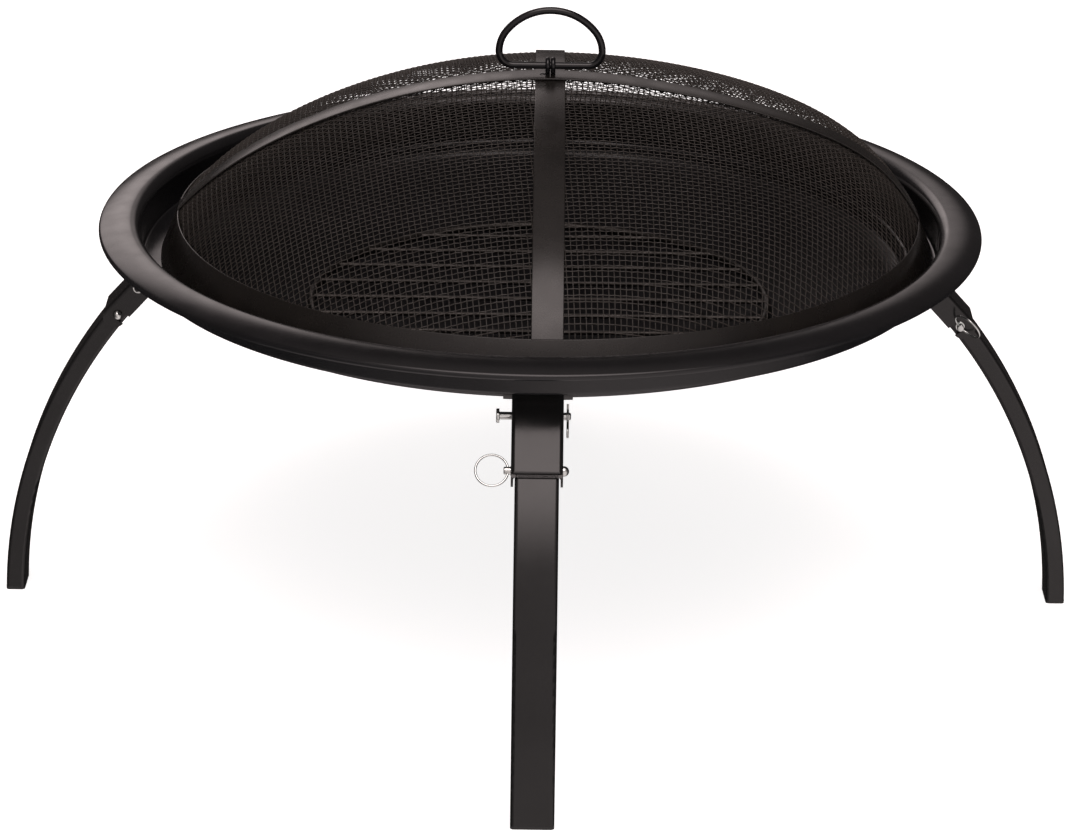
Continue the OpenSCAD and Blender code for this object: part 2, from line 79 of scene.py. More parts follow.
# %% [markdown]
# ## From arrays to meshes
# Nearly every piece of this object is a profile turned round an axis or a wire carried along a path.
# Both are grids of points: one index runs round the profile, the other along the sweep. So one helper
# makes the four-sided faces of a grid, and another puts points and faces into a Blender mesh. A surface
# here is three things: its points, its four-sided faces and its end caps. Sizes are kept in
# millimetres, as a maker would say them, and become metres only here.

# %% Grid faces and pieces
WELD = 2e-6


def grid_faces(rows, columns, wrap_rows=True, wrap_columns=True):
    """Four-sided faces of a grid: corner (r, c) joins (r, c + 1), (r + 1, c + 1) and (r + 1, c)."""
    r = np.arange(rows if wrap_rows else rows - 1)[:, None]
    c = np.arange(columns if wrap_columns else columns - 1)[None, :]
    next_r = (r + 1) % rows
    next_c = (c + 1) % columns
    corners = (r * columns + c, r * columns + next_c, next_r * columns + next_c, next_r * columns + c)
    return np.stack(np.broadcast_arrays(*corners), -1).reshape(-1, 4)


def join(parts):
    """Several surfaces as one: each part's face numbers move up by the points that come before it."""
    counts = [part[0].size // 3 for part in parts]
    starts = np.cumsum([0] + counts[:-1])
    points = np.concatenate([part[0].reshape(-1, 3) for part in parts])
    quads = np.concatenate([part[1] + start for part, start in zip(parts, starts)])
    caps = [cap + start for part, start in zip(parts, starts) for cap in part[2]]
    return points, quads, caps


def signed_volume(points, quads):
    """Six times the volume inside, seen from the middle: the sum of a . (b x c) + a . (c x d)."""
    a, b, c, d = np.moveaxis((points - points.mean(0))[quads], 1, 0)
    return float((a * (np.cross(b, c) + np.cross(c, d))).sum())


def add_piece(name, surface, body, slot, nodes, sharp=35):
    """Puts a closed surface in millimetres into a mesh in metres, faces outward, riding on a body. Edges
    that turn by more than sharp degrees stay sharp."""
    points, quads, caps = surface
    points = points.reshape(-1, 3)
    if signed_volume(points, quads) < 0:
        quads, caps = quads[:, ::-1], [cap[::-1] for cap in caps]
    mesh = bpy.data.meshes.new(name)
    mesh.from_pydata((points * MM).tolist(), [], quads.tolist() + [cap.tolist() for cap in caps])
    shell = bmesh.new()
    shell.from_mesh(mesh)
    bmesh.ops.remove_doubles(shell, verts=shell.verts, dist=WELD)
    shell.to_mesh(mesh)
    shell.free()
    mesh.shade_smooth()
    mesh.set_sharp_from_angle(angle=math.radians(sharp))
    piece = bpy.data.objects.new(name, mesh)
    bpy.context.scene.collection.objects.link(piece)
    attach(piece, body)
    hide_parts(*nodes)
    mesh.materials.append(FINISHES[slot])
    print(name, len(mesh.polygons), "faces on", body)


# %% [markdown]
# ## Profiles and paths
# A profile is a list of points in a plane, put together from arcs. Turning it round an axis gives the
# bowl and the pins; carrying it along a path gives straps and wires. A path in a plane needs no clever
# twisting frame: one side of the section follows the plane's own normal all the way.

# %% Arcs, turned pieces and swept pieces
def arc(centre, radius, start, end, steps, skip=0):
    """Points of a plane arc: centre plus radius times (cos a, sin a), a from start to end in degrees."""
    a = np.radians(np.linspace(start, end, steps + 1))[skip:]
    return np.asarray(centre) + radius * np.stack([np.cos(a), np.sin(a)], -1)


def arch_radius(half_span, rise):
    """Radius of the arch with a half-span and a rise: (s * s + h * h) / 2 h."""
    return (half_span**2 + rise**2) / (2 * rise)


def turned(profile, segments):
    """A closed profile of (radius, height) points turned once round Z."""
    a = np.linspace(0, 2 * np.pi, segments, endpoint=False)[:, None]
    r, z = profile[:, 0], profile[:, 1]
    points = np.stack(np.broadcast_arrays(r * np.cos(a), r * np.sin(a), z), -1)
    return points, grid_faces(segments, len(profile)), []


def carried(section, path, normal, closed=False):
    """A closed section carried along a path: each point is the path's point, plus the section's first
    coordinate along (tangent x normal), plus its second along the normal."""
    if closed:
        tangent = np.roll(path, -1, 0) - np.roll(path, 1, 0)
    else:
        tangent = np.gradient(path, axis=0)
    normal = np.broadcast_to(normal, path.shape)
    side = np.cross(tangent, normal)
    side = side / np.linalg.norm(side, axis=1, keepdims=True)
    points = path[:, None] + section[None, :, :1] * side[:, None] + section[None, :, 1:] * normal[:, None]
    ring = np.arange(len(section))
    caps = [] if closed else [ring[::-1], ring + (len(path) - 1) * len(section)]
    return points, grid_faces(len(path), len(section), wrap_rows=closed), caps


def round_section(diameter, sides):
    """The circle of a wire."""
    a = np.linspace(0, 2 * np.pi, sides, endpoint=False)
    return diameter / 2 * np.stack([np.cos(a), np.sin(a)], -1)


def bar_section(thick, wide, corner, steps=4):
    """A rectangle with its four corners rounded, as one closed line."""
    x, y = thick / 2 - corner, wide / 2 - corner
    return np.concatenate([
        arc((x, y), corner, 0, 90, steps),
        arc((-x, y), corner, 90, 180, steps),
        arc((-x, -y), corner, 180, 270, steps),
        arc((x, -y), corner, 270, 360, steps),
    ])


# %% [markdown]
# ## Finishes
# Painted steel is never one flat black. A high-heat paint has a faint orange-peel skin that breaks up
# the highlights, and its gloss wanders a little. So each finish is a Principled shader whose colour,
# roughness and bump are all driven by noise on Object coordinates, at the size the real grain has.

# %% Finish helpers
FINISHES = {}
NOISE_LOW, NOISE_HIGH = 0.3, 0.7


def start_finish(name):
    """A new node material with its shader and its Object coordinates."""
    material = bpy.data.materials.new(name)
    material.use_nodes = True
    nodes = material.node_tree.nodes
    shader = nodes["Principled BSDF"]
    coords = nodes.new("ShaderNodeTexCoord").outputs["Object"]
    FINISHES[name] = material
    return material.node_tree, shader, coords


def grain(tree, coords, scale, detail):
    """Noise of so many grains to the metre."""
    noise = tree.nodes.new("ShaderNodeTexNoise")
    noise.inputs["Scale"].default_value = scale
    noise.inputs["Detail"].default_value = detail
    tree.links.new(coords, noise.inputs["Vector"])
    return noise.outputs["Fac"]


def ramp(tree, value, dark, light):
    """Noise from its usual low to its usual high turned into a colour from dark to light."""
    node = tree.nodes.new("ShaderNodeValToRGB")
    stops = ((NOISE_LOW, dark), (NOISE_HIGH, light))
    for element, (position, colour) in zip(node.color_ramp.elements, stops):
        element.position = position
        element.color = (*colour, 1)
    tree.links.new(value, node.inputs["Fac"])
    return node.outputs["Color"]


def spread(tree, value, low, high):
    """Noise from its usual low to its usual high mapped on to a range."""
    node = tree.nodes.new("ShaderNodeMapRange")
    node.inputs["From Min"].default_value = NOISE_LOW
    node.inputs["From Max"].default_value = NOISE_HIGH
    node.inputs["To Min"].default_value = low
    node.inputs["To Max"].default_value = high
    tree.links.new(value, node.inputs["Value"])
    return node.outputs["Result"]


def bumped(tree, shader, heights):
    """Lays bumps over one another: each is (noise, strength, depth in metres)."""
    normal = None
    for height, strength, depth in heights:
        node = tree.nodes.new("ShaderNodeBump")
        node.inputs["Strength"].default_value = strength
        node.inputs["Distance"].default_value = depth
        tree.links.new(height, node.inputs["Height"])
        if normal is not None:
            tree.links.new(normal, node.inputs["Normal"])
        normal = node.outputs["Normal"]
    tree.links.new(normal, shader.inputs["Normal"])


# %% Painted steel
PAINT_CLOUDS, PAINT_WANDER, PAINT_PEEL, PAINT_SPECKS = 14, 55, 520, 900
SPECK_DARK, SPECK_LIGHT, SPECK_MIX = (0.3,) * 3, (0.7,) * 3, 0.5
PEEL_DEPTH, FINE_DEPTH = 0.0003, 0.0001


def painted_steel(name, dark, light, gloss, peel):
    """Black paint: two near blacks in soft clouds, a wandering gloss and an orange-peel skin."""
    tree, shader, coords = start_finish(name)
    clouds = grain(tree, coords, PAINT_CLOUDS, 5)
    wander = grain(tree, coords, PAINT_WANDER, 4)
    skin = grain(tree, coords, PAINT_PEEL, 2)
    specks = grain(tree, coords, PAINT_SPECKS, 2)
    mix = tree.nodes.new("ShaderNodeMix")
    mix.data_type = "RGBA"
    mix.blend_type = "SOFT_LIGHT"
    mix.inputs["Factor"].default_value = SPECK_MIX
    tree.links.new(ramp(tree, clouds, dark, light), mix.inputs["A"])
    tree.links.new(ramp(tree, specks, SPECK_DARK, SPECK_LIGHT), mix.inputs["B"])
    tree.links.new(mix.outputs["Result"], shader.inputs["Base Color"])
    tree.links.new(spread(tree, wander, *gloss), shader.inputs["Roughness"])
    bumped(tree, shader, [(skin, peel, PEEL_DEPTH), (specks, peel, FINE_DEPTH)])
    return tree, shader, coords


def matt_hearth(tree, shader, coords, inner, outer, rough, sheen):
    """Inside a radius the paint is dull, as a hearth's is: roughness and reflection are blended from
    matt to glossy between two distances from the Z axis."""
    level = tree.nodes.new("ShaderNodeMapping")
    level.inputs["Scale"].default_value = (1, 1, 0)
    tree.links.new(coords, level.inputs["Vector"])
    distance = tree.nodes.new("ShaderNodeVectorMath")
    distance.operation = "LENGTH"
    tree.links.new(level.outputs["Vector"], distance.inputs[0])
    glossy = tree.nodes.new("ShaderNodeMapRange")
    glossy.inputs["From Min"].default_value = inner
    glossy.inputs["From Max"].default_value = outer
    tree.links.new(distance.outputs["Value"], glossy.inputs["Value"])
    for socket, dull in (("Roughness", rough), ("Specular IOR Level", sheen)):
        blend = tree.nodes.new("ShaderNodeMix")
        blend.inputs["A"].default_value = dull
        blend.inputs["B"].default_value = shader.inputs[socket].default_value
        if shader.inputs[socket].is_linked:
            tree.links.new(shader.inputs[socket].links[0].from_socket, blend.inputs["B"])
        tree.links.new(glossy.outputs["Result"], blend.inputs["Factor"])
        tree.links.new(blend.outputs["Result"], shader.inputs[socket])


bowl_black, bowl_grey = (0.0065, 0.0065, 0.007), (0.010, 0.010, 0.011)
bowl_paint = painted_steel("bowl_coat", bowl_black, bowl_grey, (0.17, 0.24), 0.05)
matt_hearth(*bowl_paint, inner=0.290, outer=0.306, rough=0.62, sheen=0.12)
painted_steel("satin_black", (0.006, 0.006, 0.006), (0.010, 0.010, 0.010), (0.13, 0.20), 0.08)
painted_steel("screen_black", (0.010, 0.009, 0.008), (0.017, 0.015, 0.013), (0.22, 0.32), 0.12)
painted_steel("mesh_wire", (0.030, 0.026, 0.022), (0.048, 0.042, 0.037), (0.34, 0.48), 0.10)
painted_steel("handle_black", (0.005, 0.005, 0.006), (0.009, 0.009, 0.010), (0.10, 0.16), 0.05)
print("painted finishes:", sorted(FINISHES))

# %% Bare and plated wire
METAL_CLOUDS, METAL_WANDER, DRAWN_LINES = 60, 240, 1500


def bare_metal(name, dark, light, gloss, brushed):
    """Metal: a colour that clouds a little, and gloss with fine drawn lines in it."""
    tree, shader, coords = start_finish(name)
    shader.inputs["Metallic"].default_value = 1.0
    clouds = grain(tree, coords, METAL_CLOUDS, 4)
    wander = grain(tree, coords, METAL_WANDER, 4)
    tree.links.new(ramp(tree, clouds, dark, light), shader.inputs["Base Color"])
    tree.links.new(spread(tree, wander, *gloss), shader.inputs["Roughness"])
    bumped(tree, shader, [(grain(tree, coords, DRAWN_LINES, 2), brushed, FINE_DEPTH)])


bare_metal("bright_zinc", (0.70, 0.74, 0.73), (0.88, 0.92, 0.90), (0.12, 0.24), 0.08)
bare_metal("grate_wire", (0.05, 0.047, 0.044), (0.085, 0.080, 0.075), (0.38, 0.52), 0.15)

# %% Moulded feet
PLASTIC_CLOUDS, ERODED_GRAIN = 90, 1800


def moulded_plastic(name, dark, light, gloss, eroded):
    """Black plastic with a fine spark-eroded grain."""
    tree, shader, coords = start_finish(name)
    clouds = grain(tree, coords, PLASTIC_CLOUDS, 3)
    tree.links.new(ramp(tree, clouds, dark, light), shader.inputs["Base Color"])
    tree.links.new(spread(tree, clouds, *gloss), shader.inputs["Roughness"])
    bumped(tree, shader, [(grain(tree, coords, ERODED_GRAIN, 2), eroded, FINE_DEPTH)])


moulded_plastic("foot_plastic", (0.010,) * 3, (0.018,) * 3, (0.5, 0.65), 0.3)
print("finishes:", sorted(FINISHES))

# %% [markdown]
# ## The bowl
# One round sheet pressed in steps: a shallow dish, a short wall, a ledge for the screen, a riser and
# an arched brim with a rolled edge. The profile is a chain of arcs that meet tangent to tangent, drawn
# once for the inside face and once for the outside, then turned round. Each arc's centre follows from
# the widths and drops that a maker would give.

# %% Sizes of the bowl
RIM_R, RIM_Z, SHEET = 368.0, 336.0, 1.5
BRIM_W, BRIM_CROWN, CREST_R = 34.5, 60.0, 9.0
HEM_R, HEM_WRAP = 2.2, 150
ROUND_STEPS = 320
LEDGE_W, LEDGE_DROP, BEND_R = 27.0, 26.0, 3.0
WALL_DROP, CORNER_R, BOWL_DEPTH = 33.0, 8.0, 96.0
half = SHEET / 2
riser_r = RIM_R - BRIM_W
wall_r = riser_r - LEDGE_W
ledge_top = RIM_Z - LEDGE_DROP
ledge_z = ledge_top - half
corner = (wall_r - CORNER_R, RIM_Z - WALL_DROP)
floor_z = RIM_Z - BOWL_DEPTH + half
corner_up = corner[1] - floor_z
dish_r = (corner[0]**2 + corner_up**2 - CORNER_R**2) / (2 * (corner_up - CORNER_R))
dish = (0, floor_z + dish_r)
dish_angle = math.degrees(math.asin(corner[0] / (dish_r - CORNER_R)))
hem = (RIM_R - half - HEM_R, RIM_Z)
crest_x = riser_r + CREST_R
brim_angle = math.degrees(math.asin((hem[0] - crest_x) / (BRIM_CROWN - HEM_R)))
brim = (crest_x, RIM_Z - (BRIM_CROWN - HEM_R) * math.cos(math.radians(brim_angle)))
crest = (crest_x, brim[1] + BRIM_CROWN - CREST_R)
print("dish radius", round(dish_r, 1), "mm, brim", round(brim[1] + BRIM_CROWN + half, 1), "mm up")


# %% Bowl
def bowl_line(inside):
    """The sheet's section at a distance inside its middle, from the axis out to the rolled edge: arcs of
    dish, corner, ledge bends, crest, brim and hem, each grown or shrunk by that distance."""
    return np.concatenate([
        arc(dish, dish_r - inside, -90, dish_angle - 90, 26),
        arc(corner, CORNER_R - inside, dish_angle - 90, 0, 10, 1),
        arc((wall_r + BEND_R, ledge_z - BEND_R), BEND_R + inside, 180, 90, 7),
        arc((riser_r - BEND_R, ledge_z + BEND_R), BEND_R - inside, -90, 0, 7),
        arc(crest, CREST_R + inside, 180, 90, 12),
        arc(brim, BRIM_CROWN + inside, 90, 90 - brim_angle, 14, 1),
        arc(hem, HEM_R + inside, 90 - brim_angle, -HEM_WRAP, 18, 1),
    ])


bowl_profile = np.concatenate([bowl_line(half), bowl_line(-half)[::-1]])
bowl_surface = turned(bowl_profile, ROUND_STEPS)
add_piece("bowl_shell", bowl_surface, "stand", "bowl_coat", ["fire_bowl"], sharp=60)

# %% [markdown]
# ## The spark screen's frame
# The ring is a flat strip rolled into a steep cone. Its foot stands on the bowl's ledge and its upper
# edge meets the dome. Two flat straps cross over the top, and dome and straps are a little fuller than
# a sphere near the ring, most of all on the right, where the photographed one bulges. A sheared steel
# strip has slightly rounded edges, and these edges are what catches the light, so every section has
# small round corners and isn't a plain ribbon.

# %% Sizes of the screen
SCREEN_X, SCREEN_PLAY, SCREEN_RISE = 6.5, 12.0, 152.5
SKIRT_H, BAND_W, RING_FLARE = 27.0, 12.5, 5.0
STRAP_T, STRAP_W, STRAP_EDGE = 1.5, 25.0, 0.6
SEAM, REST_GAP, LOOP_GAP = 0.1, 0.3, 0.3
screen_at = np.array([SCREEN_X, 0, 0])
screen_foot = ledge_top + REST_GAP
dome_foot = screen_foot + SKIRT_H
screen_r = riser_r - BEND_R - SCREEN_PLAY
dome_z = ledge_top + SCREEN_RISE - arch_radius(screen_r, SCREEN_RISE - REST_GAP - SKIRT_H)
band_in = math.hypot(screen_r, dome_foot - dome_z) - STRAP_T
band_low = math.degrees(math.atan2(dome_foot - dome_z, screen_r))
band_high = band_low + math.degrees(BAND_W / band_in)
band_top = dome_z + (band_in + STRAP_T) * math.sin(math.radians(band_high))
print("dome radius", round(band_in, 1), "mm about", round(dome_z, 1), "mm up")
print("ring top", round(band_top, 1), "mm up")

# %% Ring
ring_top = arc((0, dome_z), band_in + STRAP_T, band_high, band_high, 0)[0]
ring_foot = np.array([screen_r + RING_FLARE, screen_foot + STRAP_T / 2])
ring_slant = math.hypot(*(ring_top - ring_foot))
up_cone = (ring_top - ring_foot) / ring_slant
into_cone = np.array([-up_cone[1], up_cone[0]])
ring_bar = bar_section(STRAP_T, ring_slant, STRAP_EDGE)
ring_middle = (ring_top + ring_foot + into_cone * STRAP_T) / 2
ring_profile = ring_middle + ring_bar[:, :1] * into_cone + ring_bar[:, 1:] * up_cone
ring_points, ring_quads, ring_caps = turned(ring_profile, ROUND_STEPS)
ring_surface = (ring_points + screen_at, ring_quads, ring_caps)
add_piece("ring_band", ring_surface, "screen", "screen_black", ["screen_ring"], sharp=50)


# %% Straps
FULL_ALL, FULL_RIGHT = 25.0, 15.0
UP = np.array([0, 0, 1.0])


def fuller(points):
    """Points of the screen raised by f(s) (a + b cos p), f = s^3 (1 - s^8), where s is the distance from
    the axis over that of the ring's upper edge and p the angle round from the right."""
    x, y = points[..., 0] - SCREEN_X, points[..., 1]
    distance = np.hypot(x, y)
    s = np.clip(distance / ring_top[0], 0, 1)
    rise = s**3 * (1 - s**8) * (FULL_ALL + FULL_RIGHT * x / np.maximum(distance, 1))
    return points + rise[..., None] * UP


def strap(radius, centre_z, along):
    """A strip carried over an arch: the path is an arc in an upright plane, the section a rounded bar."""
    middle = radius + STRAP_T / 2
    start = math.degrees(math.asin((band_top - STRAP_EDGE - centre_z) / middle))
    flat = arc((0, centre_z), middle, start, 180 - start, 120)
    across = np.array([-along[1], along[0], 0.0])
    path = screen_at + flat[:, :1] * np.asarray(along) + flat[:, 1:] * UP
    return carried(bar_section(STRAP_T, STRAP_W, STRAP_EDGE), fuller(path), across)


strap_reach = math.sqrt(band_in**2 - (band_top - dome_z)**2)
cross_in = dome_z + band_in + STRAP_T + SEAM + STRAP_W**2 / (8 * band_in)
cross_r = arch_radius(strap_reach, cross_in - band_top)
strap_top = cross_in + STRAP_T
under_surface = strap(band_in, dome_z, (0, 1, 0))
over_surface = strap(cross_r, cross_in - cross_r, (1, 0, 0))
add_piece("strap_under", under_surface, "screen", "screen_black", ["strap_front_back"], sharp=50)
add_piece("strap_over", over_surface, "screen", "screen_black", ["strap_left_right"], sharp=50)

# %% [markdown]
# ## The woven mesh
# Two families of thin wires pass over and under each other, about five to every inch. A flat piece of
# cloth pressed into a dome keeps the spacing along its wires and gives way at the corners of its cells.
# A simple formula comes close to that: a crossing u along one way and v along the other is halfway
# between walking u then v over the sphere and walking v then u. The wave of the weave is a cosine that
# lifts a wire at every second crossing, and the other family has the opposite sign.

# %% Places on the dome
MESH_PITCH, MESH_WIRE, MESH_TURN, MESH_TUCK = 5.1, 0.9, 4.0, 5.5
MESH_FACETS, WIDEST_TURN, HALVINGS = 4, 1.3, 40
mesh_mid = band_in - SEAM - MESH_WIRE
mesh_low = (dome_foot + MESH_TUCK - dome_z) / mesh_mid
step = MESH_PITCH / mesh_mid


def dome_way(u, v):
    """Direction from the dome's centre, halfway between walking u along X then v along Y and v then u."""
    u, v = np.broadcast_arrays(u, v)
    way = np.stack([
        np.sin(u) * (1 + np.cos(v)) / 2,
        np.sin(v) * (1 + np.cos(u)) / 2,
        np.cos(u) * np.cos(v),
    ], -1)
    return way / np.linalg.norm(way, axis=-1, keepdims=True)


def wire_reach(u):
    """How far a wire at u runs before it dips to the ring: halving the gap until it closes."""
    near, far = np.zeros_like(u), np.full_like(u, WIDEST_TURN)
    for _ in range(HALVINGS):
        middle = (near + far) / 2
        above = dome_way(u, middle)[:, 2] > mesh_low
        near = np.where(above, middle, near)
        far = np.where(above, far, middle)
    return near


# %% Woven wires
def woven_wire(index, reach, swap):
    """One wire: its place on the dome, plus half a wire up or down at each crossing in turn."""
    half_steps = np.arange(math.ceil(-2 * reach / step) + 1, math.floor(2 * reach / step))
    v = np.concatenate([[-reach], half_steps * step / 2, [reach]])
    way = dome_way(index * step, v)
    lift = MESH_WIRE / 2 * np.cos(np.pi * (v / step + index)) * (-1 if swap else 1)
    if swap:
        way = way[:, [1, 0, 2]]
    return carried(round_section(MESH_WIRE, MESH_FACETS), way * (mesh_mid + lift)[:, None], way)


def woven_half(name, indices, swap):
    """Half of one family of wires, turned a little about the dome's axis and set at the dome's centre."""
    reaches = wire_reach(np.abs(indices) * step)
    wires = [woven_wire(i, reach, swap) for i, reach in zip(indices, reaches) if reach > step]
    points, quads, caps = join(wires)
    turn = math.radians(MESH_TURN)
    c, s = math.cos(turn), math.sin(turn)
    spin = np.array([[c, s, 0], [-s, c, 0], [0, 0, 1]])
    points = fuller(points @ spin + screen_at + dome_z * UP)
    add_piece(name, (points, quads, caps), "screen", "mesh_wire", ["spark_mesh"], sharp=180)


wire_count = int(np.arccos(mesh_low) / step)
woven_half("mesh_warp_left", np.arange(-wire_count, 0), False)
woven_half("mesh_warp_right", np.arange(0, wire_count + 1), False)
woven_half("mesh_weft_front", np.arange(-wire_count, 0), True)
woven_half("mesh_weft_rear", np.arange(0, wire_count + 1), True)

# %% [markdown]
# ## The handle and its eyes
# The handle is one D of glossy round bar: a straight foot, two tight corners, two shoulders and a
# shallow crown. Its path is a chain of arcs. Two wire eyes hold it, and their prongs go down through
# the straps and bend apart underneath, as a split pin does.

# %% Handle
HANDLE_WIRE, HANDLE_W, HANDLE_H = 6.0, 91.0, 53.0
HANDLE_CORNER, SHOULDER_R, FOOT_STEPS = 12.0, 28.0, 14
EYE_WIRE, EYE_PITCH, PRONG = 4.0, 4.5, 9.0
HANDLE_FACETS, EYE_FACETS = 24, 16
eye_r = HANDLE_WIRE / 2 + EYE_WIRE / 2 + LOOP_GAP
bar_z = strap_top + eye_r + EYE_WIRE / 2 + SEAM
side_x = (HANDLE_W - HANDLE_WIRE) / 2
side_z = bar_z + HANDLE_CORNER
arch_h = HANDLE_H - HANDLE_WIRE - HANDLE_CORNER
shoulder_x = side_x - SHOULDER_R
crown_r = (shoulder_x**2 + arch_h**2 - SHOULDER_R**2) / (2 * (arch_h - SHOULDER_R))
crown_z = side_z + arch_h - crown_r
shoulder_angle = math.degrees(math.atan2(side_z - crown_z, shoulder_x))
foot_end = side_x - HANDLE_CORNER
loop = np.concatenate([
    np.stack([np.linspace(-foot_end, foot_end, FOOT_STEPS + 2)[1:-1], np.full(FOOT_STEPS, bar_z)], -1),
    arc((foot_end, side_z), HANDLE_CORNER, -90, 0, 14),
    arc((shoulder_x, side_z), SHOULDER_R, 0, shoulder_angle, 10, 1),
    arc((0, crown_z), crown_r, shoulder_angle, 180 - shoulder_angle, 26, 1),
    arc((-shoulder_x, side_z), SHOULDER_R, 180 - shoulder_angle, 180, 10, 1),
    arc((-foot_end, side_z), HANDLE_CORNER, 180, 270, 14, 1),
])
loop_path = np.stack([loop[:, 0] + SCREEN_X, np.zeros(len(loop)), loop[:, 1]], -1)
handle_surface = carried(round_section(HANDLE_WIRE, HANDLE_FACETS), loop_path, (0, 1.0, 0), closed=True)
add_piece("handle_loop", handle_surface, "handle", "handle_black", ["lift_handle"])


# %% Eyes
def eye(side):
    """A closed loop round the handle's bar and a prong that turns outward under the mesh."""
    x = SCREEN_X + side * EYE_PITCH / 2
    round_loop = arc((0, bar_z), eye_r, 0, 360, 40)[:-1]
    path = np.stack([np.full(len(round_loop), x), round_loop[:, 0], round_loop[:, 1]], -1)
    ring_part = carried(round_section(EYE_WIRE, EYE_FACETS), path, (1.0, 0, 0), closed=True)
    low = strap_top - PRONG
    bend = arc((side * EYE_WIRE, low + EYE_WIRE), EYE_WIRE, 90 + side * 90, 270, 8)
    flat = np.concatenate([[[0, bar_z - eye_r]], bend, [[side * PRONG, low]]])
    prong = np.stack([flat[:, 0] + x, np.zeros(len(flat)), flat[:, 1]], -1)
    return [ring_part, carried(round_section(EYE_WIRE, EYE_FACETS), prong, (0, 1.0, 0))]


add_piece("eye_loops", join(eye(-1) + eye(1)), "screen", "handle_black", ["handle_eyes"])

# %% [markdown]
# ## The grate
# A ring of heavier wire with thinner bars let into it lies loose in the dish. Through the mesh it shows
# only as faint lines, so its wire is a dull dark metal.

# %% Grate
GRATE_R, RING_WIRE, BAR_WIRE, BAR_PITCH, BAR_SIDE = 192.0, 6.0, 4.0, 40.0, 4
RING_FACETS, BAR_FACETS = 16, 14
grate_sit = dish_r - half - RING_WIRE / 2 - REST_GAP
grate_z = dish[1] - math.sqrt(grate_sit**2 - GRATE_R**2)
circle = arc((0, 0), GRATE_R, 0, 360, 160)[:-1]
grate_path = np.column_stack([circle, np.full(len(circle), grate_z)])
grate_ring = carried(round_section(RING_WIRE, RING_FACETS), grate_path, (0, 0, 1.0), closed=True)


def grate_bar(offset):
    """A straight wire whose ends are sunk into the ring."""
    reach = math.sqrt(GRATE_R**2 - offset**2)
    path = np.column_stack([np.linspace(-reach, reach, 3), np.full(3, offset), np.full(3, grate_z)])
    return carried(round_section(BAR_WIRE, BAR_FACETS), path, (0, 0, 1.0))


bars = [grate_bar(k * BAR_PITCH) for k in range(-BAR_SIDE, BAR_SIDE + 1)]
add_piece("grate_wires", join([grate_ring] + bars), "grate", "grate_wire", ["fire_grate"])

# %% [markdown]
# ## Pins, clips and rings at each leg
# Every leg hangs on a clevis pin held by a hairpin clip, and is locked by a second pin with a pull ring.
# They are drawn once, in the bracket's own frame: x square to the bracket and outward, y along the rim,
# z up the bracket. Then they are set at the four stations by turning them round the bowl.

# %% From the bracket's frame to the world
LEG_BEND, LEG_W, SIDE_GAP, BRACKET_SHEET, LOCK_DROP = 422.0, 34.0, 1.2, 1.8, 45.0
PIVOT_OUT, PIVOT_DROP, FOOT_OUT = 17.0, 48.0, 80.5
PIN_STEPS = 32
pivot = np.array([wall_r + PIVOT_OUT, RIM_Z - PIVOT_DROP])
foot = np.array([RIM_R + FOOT_OUT, 0])
chord = foot - pivot
span = np.linalg.norm(chord)
aside = math.sqrt(LEG_BEND**2 - span**2 / 4) / span
bend_centre = (pivot + foot) / 2 + aside * np.array([chord[1], -chord[0]])
tilt = math.atan2(*(pivot - bend_centre)[::-1]) - math.asin(LOCK_DROP / 2 / LEG_BEND)
cheek = LEG_W / 2 + SIDE_GAP + BRACKET_SHEET
print("brackets lean", round(math.degrees(tilt), 2), "degrees")


def at_station(surface, place):
    """Points turned about Y by the bracket's tilt, moved to the pivot and turned round the bowl."""
    x, y, z = np.moveaxis(surface[0].reshape(-1, 3), -1, 0)
    out = pivot[0] + x * math.cos(tilt) - z * math.sin(tilt)
    up = pivot[1] + x * math.sin(tilt) + z * math.cos(tilt)
    a = math.radians(PLACES[place])
    points = np.stack([out * math.cos(a) - y * math.sin(a), out * math.sin(a) + y * math.cos(a), up], -1)
    return points, surface[1], surface[2]


def turned_pin(profile, drop):
    """A profile of (radius, y) points turned round the pin's axis, which runs along y."""
    points, quads, caps = turned(profile, PIN_STEPS)
    return np.stack([points[..., 0], points[..., 2], points[..., 1] - drop], -1), quads, caps


# %% Pin shapes
PIVOT_R, HEAD_R, HEAD_T, SPARE, TAIL = 3.0, 5.5, 2.5, 9.5, 5.6
HEAD_EDGE, UNDER_EDGE, FILLET, TAIL_EDGE = 0.7, 0.3, 0.4, 0.9
head_y = -cheek - SPARE
tail_y = cheek + TAIL
pivot_profile = np.concatenate([
    [[0, head_y - HEAD_T]],
    arc((HEAD_R - HEAD_EDGE, head_y - HEAD_T + HEAD_EDGE), HEAD_EDGE, -90, 0, 4),
    arc((HEAD_R - UNDER_EDGE, head_y - UNDER_EDGE), UNDER_EDGE, 0, 90, 3),
    arc((PIVOT_R + FILLET, head_y + FILLET), FILLET, 270, 180, 3),
    [[PIVOT_R, tail_y - TAIL_EDGE], [PIVOT_R - TAIL_EDGE, tail_y], [0, tail_y]],
])

LOCK_R, NECK_R, NECK, NECK_EDGE, NOSE = 4.0, 3.0, 5.6, 1.0, 4.6
shank = cheek + REST_GAP
nose = NOSE - REST_GAP
nose_r = arch_radius(LOCK_R, nose)
nose_angle = math.degrees(math.asin(min(1, LOCK_R / nose_r)))
lock_profile = np.concatenate([
    [[0, -cheek - NECK]],
    arc((NECK_R - NECK_EDGE, NECK_EDGE - cheek - NECK), NECK_EDGE, -90, 0, 6),
    [[NECK_R, -shank], [LOCK_R - UNDER_EDGE, -shank], [LOCK_R, UNDER_EDGE - shank]],
    arc((0, shank + nose - nose_r), nose_r, 90 - nose_angle, 90, 12),
])

